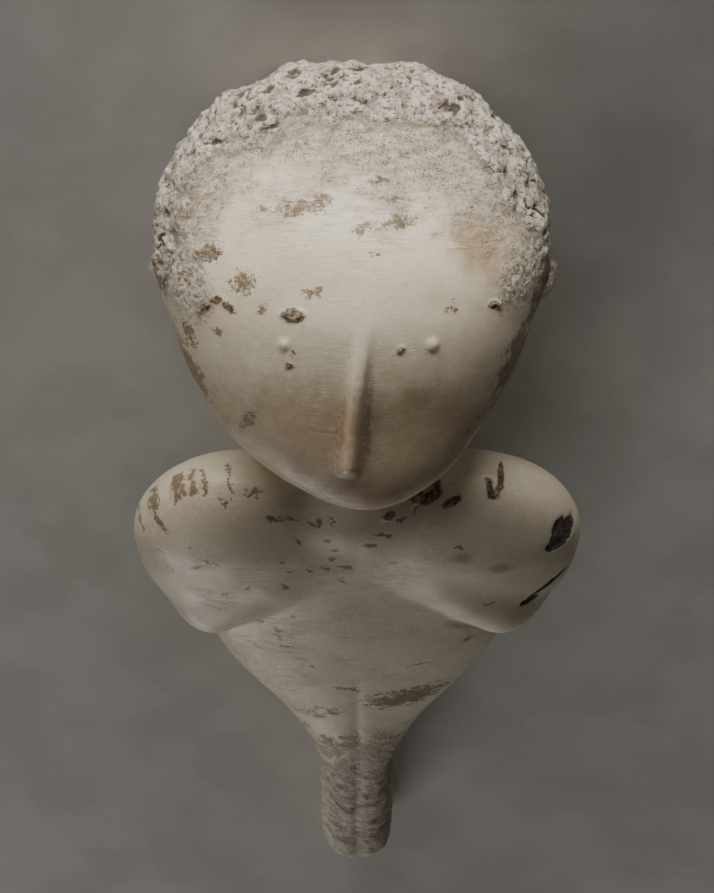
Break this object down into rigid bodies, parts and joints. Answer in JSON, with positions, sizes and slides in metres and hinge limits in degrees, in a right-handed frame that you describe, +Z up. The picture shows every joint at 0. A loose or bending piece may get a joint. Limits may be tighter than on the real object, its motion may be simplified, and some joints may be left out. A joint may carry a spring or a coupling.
{
  "type": "schematic marble figurine",
  "caption": "Carved marble idol lying on its back: large egg-shaped head tipped back, ridge nose, tiny pellet eyes and ears, stub arms, wedge torso and joined legs.",
  "frame": {"origin": "centre of the bounding box across and lengthwise, on the floor the figurine lies on", "axes": "+Y toward the head, -Y toward the feet, +X to the figurine's left, +Z up, out of its front as it lies on its back"},
  "size_m": [0.0656, 0.1716, 0.0461],
  "materials": {
    "marble": "hand-rubbed marble, softly waxy, with eroded crust on the crown and lower legs and brown root marks"
  },
  "bodies": {
    "root": {"figurine": "marble"}
  },
  "joints": []
}
